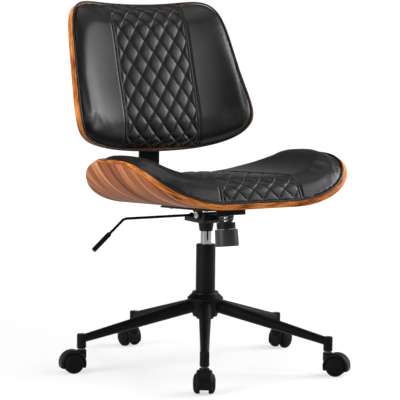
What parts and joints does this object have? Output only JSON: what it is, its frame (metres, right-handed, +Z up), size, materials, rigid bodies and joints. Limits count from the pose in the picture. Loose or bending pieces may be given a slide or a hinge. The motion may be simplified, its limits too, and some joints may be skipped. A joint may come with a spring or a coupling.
{
  "type": "office chair",
  "caption": "Bentwood office chair with quilted seat and back cushions, gas lift, tilt mechanism and a caster star base.",
  "frame": {"origin": "on the floor, on the column's axis", "axes": "+Z up, -Y the way the sitter faces, X across the seat"},
  "size_m": [0.7395, 0.7234, 0.9252],
  "materials": {
    "black_steel": "satin black powder coat",
    "grey_steel": "dark grey paint",
    "dark_steel": "blackened steel",
    "bright_steel": "zinc plated",
    "chrome": "polished",
    "grey_plastic": "matt",
    "black_plastic": "fine moulded grain",
    "black_rubber": "matt",
    "walnut_ply": "walnut veneer, satin lacquer, bare ply edge",
    "black_leather": "soft black artificial leather, diamond quilted middle"
  },
  "bodies": {
    "base": {"base_hub": "black_steel", "leg_1": "black_steel", "leg_2": "black_steel", "leg_3": "black_steel", "leg_4": "black_steel", "leg_5": "black_steel", "column_tube": "black_steel", "column_bush": "grey_plastic", "thrust_bearing": "dark_steel"},
    "rod": {"lift_rod": "dark_steel", "bump_stop": "black_rubber"},
    "carriage": {"lift_cylinder": "chrome", "mechanism_housing": "grey_steel", "lever_bush": "black_plastic", "tension_spring": "dark_steel"},
    "release": {"release_pin": "bright_steel"},
    "lever": {"lever_rod": "black_steel", "lever_grip": "black_plastic"},
    "seat": {"seat_plate": "black_steel", "tilt_shaft": "bright_steel", "spring_cup": "grey_steel", "tension_bolt": "bright_steel", "seat_spacers": "black_plastic", "seat_shell": "walnut_ply", "seat_cushion": "black_leather", "seat_quilt": "black_leather", "seat_tee_nuts": "bright_steel", "seat_bolts": "bright_steel", "back_bar": "black_steel", "back_shell": "walnut_ply", "back_cushion": "black_leather", "back_quilt": "black_leather", "back_tee_nuts": "bright_steel", "back_bolts": "dark_steel"},
    "knob": {"tension_knob": "black_plastic"},
    "caster_1": {"caster_1_stem": "dark_steel", "caster_1_hood": "black_plastic", "caster_1_axle": "dark_steel"},
    "wheel_1_left": {"caster_1_wheel_left": "black_rubber"},
    "wheel_1_right": {"caster_1_wheel_right": "black_rubber"},
    "caster_2": {"caster_2_stem": "dark_steel", "caster_2_hood": "black_plastic", "caster_2_axle": "dark_steel"},
    "wheel_2_left": {"caster_2_wheel_left": "black_rubber"},
    "wheel_2_right": {"caster_2_wheel_right": "black_rubber"},
    "caster_3": {"caster_3_stem": "dark_steel", "caster_3_hood": "black_plastic", "caster_3_axle": "dark_steel"},
    "wheel_3_left": {"caster_3_wheel_left": "black_rubber"},
    "wheel_3_right": {"caster_3_wheel_right": "black_rubber"},
    "caster_4": {"caster_4_stem": "dark_steel", "caster_4_hood": "black_plastic", "caster_4_axle": "dark_steel"},
    "wheel_4_left": {"caster_4_wheel_left": "black_rubber"},
    "wheel_4_right": {"caster_4_wheel_right": "black_rubber"},
    "caster_5": {"caster_5_stem": "dark_steel", "caster_5_hood": "black_plastic", "caster_5_axle": "dark_steel"},
    "wheel_5_left": {"caster_5_wheel_left": "black_rubber"},
    "wheel_5_right": {"caster_5_wheel_right": "black_rubber"}
  },
  "joints": [
    {"name": "seat_swivel", "type": "hinge", "parent": "base", "child": "rod", "pos_m": [0, 0, 0.13], "axis": [0, 0, 1], "continuous": true},
    {"name": "seat_lift", "type": "slide", "parent": "rod", "child": "carriage", "axis": [0, 0, 1], "range_m": [-0.02, 0.08]},
    {"name": "seat_tilt", "type": "hinge", "parent": "carriage", "child": "seat", "pos_m": [0, -0.037, 0.397], "axis": [-1, 0, 0], "range_deg": [0, 12], "stiffness_Nm_per_rad": 120, "springref_deg": -20.05, "deforming": ["tension_spring"]},
    {"name": "knob_turn", "type": "hinge", "parent": "seat", "child": "knob", "pos_m": [0, -0.093, 0.404], "axis": [0, 0.1392, 0.9903], "continuous": true},
    {"name": "lever_lift", "type": "hinge", "parent": "carriage", "child": "lever", "pos_m": [-0.042, 0, 0.393], "axis": [0, 1, 0], "range_deg": [0, 6], "stiffness_Nm_per_rad": 2, "springref_deg": -20.05},
    {"name": "pin_press", "type": "slide", "parent": "carriage", "child": "release", "axis": [0, 0, -1], "range_m": [0, 0.005]},
    {"name": "caster_1_swivel", "type": "hinge", "parent": "base", "child": "caster_1", "pos_m": [-0.1679, -0.27944, 0.06], "axis": [0, 0, 1], "continuous": true},
    {"name": "wheel_1_left_roll", "type": "hinge", "parent": "caster_1", "child": "wheel_1_left", "pos_m": [-0.17975, -0.29915, 0.025], "axis": [0.8572, -0.515, 0], "continuous": true},
    {"name": "wheel_1_right_roll", "type": "hinge", "parent": "caster_1", "child": "wheel_1_right", "pos_m": [-0.17975, -0.29915, 0.025], "axis": [0.8572, -0.515, 0], "continuous": true},
    {"name": "caster_2_swivel", "type": "hinge", "parent": "base", "child": "caster_2", "pos_m": [0.21388, -0.24604, 0.06], "axis": [0, 0, 1], "continuous": true},
    {"name": "wheel_2_left_roll", "type": "hinge", "parent": "caster_2", "child": "wheel_2_left", "pos_m": [0.22897, -0.26339, 0.025], "axis": [0.7547, 0.6561, 0], "continuous": true},
    {"name": "wheel_2_right_roll", "type": "hinge", "parent": "caster_2", "child": "wheel_2_right", "pos_m": [0.22897, -0.26339, 0.025], "axis": [0.7547, 0.6561, 0], "continuous": true},
    {"name": "caster_3_swivel", "type": "hinge", "parent": "base", "child": "caster_3", "pos_m": [0.30008, 0.12738, 0.06], "axis": [0, 0, 1], "continuous": true},
    {"name": "wheel_3_left_roll", "type": "hinge", "parent": "caster_3", "child": "wheel_3_left", "pos_m": [0.32126, 0.13636, 0.025], "axis": [-0.3907, 0.9205, 0], "continuous": true},
    {"name": "wheel_3_right_roll", "type": "hinge", "parent": "caster_3", "child": "wheel_3_right", "pos_m": [0.32126, 0.13636, 0.025], "axis": [-0.3907, 0.9205, 0], "continuous": true},
    {"name": "caster_4_swivel", "type": "hinge", "parent": "base", "child": "caster_4", "pos_m": [-0.02841, 0.32476, 0.06], "axis": [0, 0, 1], "continuous": true},
    {"name": "wheel_4_left_roll", "type": "hinge", "parent": "caster_4", "child": "wheel_4_left", "pos_m": [-0.03042, 0.34767, 0.025], "axis": [-0.9962, -0.0872, 0], "continuous": true},
    {"name": "wheel_4_right_roll", "type": "hinge", "parent": "caster_4", "child": "wheel_4_right", "pos_m": [-0.03042, 0.34767, 0.025], "axis": [-0.9962, -0.0872, 0], "continuous": true},
    {"name": "caster_5_swivel", "type": "hinge", "parent": "base", "child": "caster_5", "pos_m": [-0.31765, 0.07333, 0.06], "axis": [0, 0, 1], "continuous": true},
    {"name": "wheel_5_left_roll", "type": "hinge", "parent": "caster_5", "child": "wheel_5_left", "pos_m": [-0.34005, 0.07851, 0.025], "axis": [-0.225, -0.9744, 0], "continuous": true},
    {"name": "wheel_5_right_roll", "type": "hinge", "parent": "caster_5", "child": "wheel_5_right", "pos_m": [-0.34005, 0.07851, 0.025], "axis": [-0.225, -0.9744, 0], "continuous": true}
  ],
  "couplings": [
    {"joint": "pin_press", "follows": "lever_lift", "m_per_rad": 0.047}
  ]
}
